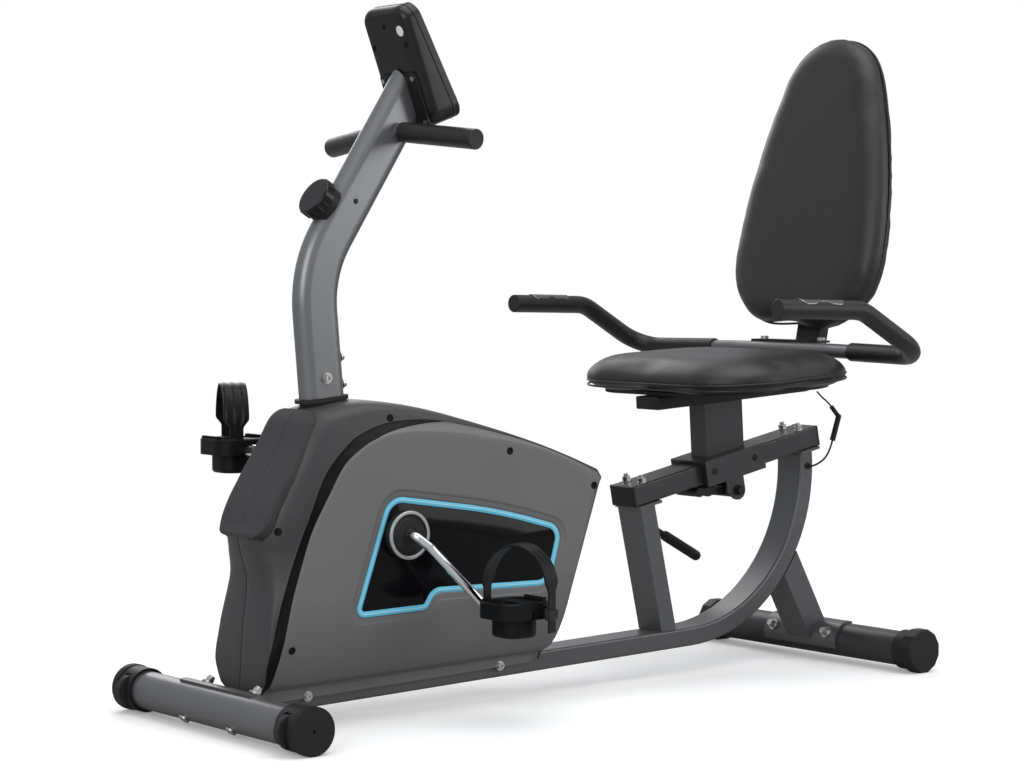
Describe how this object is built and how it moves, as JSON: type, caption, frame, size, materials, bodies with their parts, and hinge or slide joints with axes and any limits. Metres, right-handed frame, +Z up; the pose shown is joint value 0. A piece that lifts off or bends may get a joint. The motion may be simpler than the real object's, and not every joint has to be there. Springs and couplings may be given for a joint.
{
  "type": "recumbent exercise bike",
  "caption": "Recumbent magnetic exercise bike: graphite tube frame, grey drive housing, bent mast with console, sliding seat with backrest and side handlebar, strapped pedals.",
  "frame": {"origin": "on the floor, under the middle of the bike's length and width", "axes": "+X from the front stabiliser to the rear one (the rider faces -X), -Y the rider's left side, +Z up"},
  "size_m": [1.3928, 0.7494, 1.1169],
  "materials": {
    "graphite_paint": "satin",
    "frame_steel": "satin",
    "black_plastic": "matte",
    "silver_plastic": "satin",
    "shell_plastic": "satin",
    "gloss_black": "gloss",
    "chrome": "polished",
    "steel": "brushed",
    "cast_iron": "rough",
    "rubber": "matte",
    "foam": "matte",
    "cover_vinyl": "grained",
    "board": "matte",
    "lens": "gloss",
    "nylon": "satin",
    "magnet": "satin"
  },
  "bodies": {
    "frame": {"main_frame_tube": "graphite_paint", "rail_leg": "graphite_paint", "rear_strut": "graphite_paint", "inner_frame": "frame_steel", "seat_rail": "graphite_paint", "rail_end_caps": "black_plastic", "front_stabiliser": "graphite_paint", "rear_stabiliser": "graphite_paint", "frame_bolts": "chrome", "front_end_caps": "black_plastic", "mast_tube": "graphite_paint", "mast_gasket": "rubber", "frame_screws": "chrome", "front_handlebar": "graphite_paint", "front_grips": "foam", "tension_base": "black_plastic", "left_shell": "shell_plastic", "right_shell": "shell_plastic", "window_panels": "gloss_black", "disc_covers": "black_plastic", "crank_bearings": "steel", "flywheel_axle": "steel", "drive_belt": "rubber", "console_rear_shell": "black_plastic", "console_front_shell": "black_plastic", "display_lens": "lens", "battery_door": "black_plastic", "console_bracket": "frame_steel", "cable_grommet": "rubber", "pulse_lead": "rubber"},
    "crank": {"crank_axle": "steel", "left_crank_arm": "chrome", "right_crank_arm": "chrome", "drive_pulley": "black_plastic"},
    "left_pedal_body": {"left_pedal": "black_plastic", "left_pedal_strap": "rubber"},
    "right_pedal_body": {"right_pedal": "black_plastic", "right_pedal_strap": "rubber"},
    "flywheel_body": {"flywheel": "cast_iron"},
    "knob": {"tension_knob": "black_plastic"},
    "magnet": {"magnet_arm": "magnet"},
    "left_button_body": {"left_button": "silver_plastic"},
    "right_button_body": {"right_button": "silver_plastic"},
    "left_wheel": {"left_transport_wheel": "black_plastic"},
    "right_wheel": {"right_transport_wheel": "black_plastic"},
    "left_leveller": {"left_levelling_cap": "black_plastic"},
    "right_leveller": {"right_levelling_cap": "black_plastic"},
    "seat": {"seat_carriage": "graphite_paint", "slide_pads": "nylon", "seat_frame": "graphite_paint", "handle_clamp": "chrome", "handle_bolts": "chrome", "pad_boards": "board", "seat_cushion": "cover_vinyl", "backrest_pad": "cover_vinyl", "seat_handlebar": "graphite_paint", "seat_grips": "foam", "pulse_plug": "black_plastic", "pulse_wire": "rubber"},
    "lever": {"lock_lever": "chrome"}
  },
  "joints": [
    {"name": "crank_spin", "type": "hinge", "parent": "frame", "child": "crank", "pos_m": [-0.36887, 0, 0.2895], "axis": [0, 1, 0], "continuous": true},
    {"name": "left_pedal_spin", "type": "hinge", "parent": "crank", "child": "left_pedal_body", "pos_m": [-0.25425, -0.221, 0.17081], "axis": [0, 1, 0], "continuous": true},
    {"name": "right_pedal_spin", "type": "hinge", "parent": "crank", "child": "right_pedal_body", "pos_m": [-0.48349, 0.221, 0.40819], "axis": [0, 1, 0], "continuous": true},
    {"name": "flywheel_spin", "type": "hinge", "parent": "frame", "child": "flywheel_body", "pos_m": [-0.19537, -0.01, 0.25], "axis": [0, 1, 0], "continuous": true},
    {"name": "tension_knob_turn", "type": "hinge", "parent": "frame", "child": "knob", "pos_m": [-0.4559, 0, 0.80172], "axis": [-0.8387, 0, 0.5446], "range_deg": [0, 300]},
    {"name": "magnet_arm_swing", "type": "hinge", "parent": "frame", "child": "magnet", "pos_m": [-0.07176, -0.01, 0.31573], "axis": [0, 1, 0], "range_deg": [0, 7.5]},
    {"name": "seat_slide", "type": "slide", "parent": "frame", "child": "seat", "axis": [0.9803, 0, 0.1977], "range_m": [-0.08, 0.09]},
    {"name": "lock_lever_swing", "type": "hinge", "parent": "seat", "child": "lever", "pos_m": [0.38353, 0, 0.31441], "axis": [0, -1, 0], "range_deg": [0, 25]},
    {"name": "left_button_press", "type": "slide", "parent": "frame", "child": "left_button_body", "axis": [-0.8798, 0, -0.4753], "range_m": [0, 0.002], "stiffness_N_per_m": 400, "springref_m": -0.001},
    {"name": "right_button_press", "type": "slide", "parent": "frame", "child": "right_button_body", "axis": [-0.8798, 0, -0.4753], "range_m": [0, 0.002], "stiffness_N_per_m": 400, "springref_m": -0.001},
    {"name": "left_wheel_spin", "type": "hinge", "parent": "frame", "child": "left_wheel", "pos_m": [-0.67237, -0.228, 0.0365], "axis": [0, 1, 0], "continuous": true},
    {"name": "right_wheel_spin", "type": "hinge", "parent": "frame", "child": "right_wheel", "pos_m": [-0.67237, 0.228, 0.0365], "axis": [0, 1, 0], "continuous": true},
    {"name": "left_leveller_turn", "type": "hinge", "parent": "frame", "child": "left_leveller", "pos_m": [0.60663, -0.25, 0.0375], "axis": [0, -1, 0], "range_deg": [0, 90]},
    {"name": "right_leveller_turn", "type": "hinge", "parent": "frame", "child": "right_leveller", "pos_m": [0.60663, 0.25, 0.0375], "axis": [0, -1, 0], "range_deg": [0, 90]}
  ],
  "couplings": [
    {"joint": "flywheel_spin", "follows": "crank_spin", "ratio": 5.75},
    {"joint": "magnet_arm_swing", "follows": "tension_knob_turn", "ratio": 0.025}
  ]
}
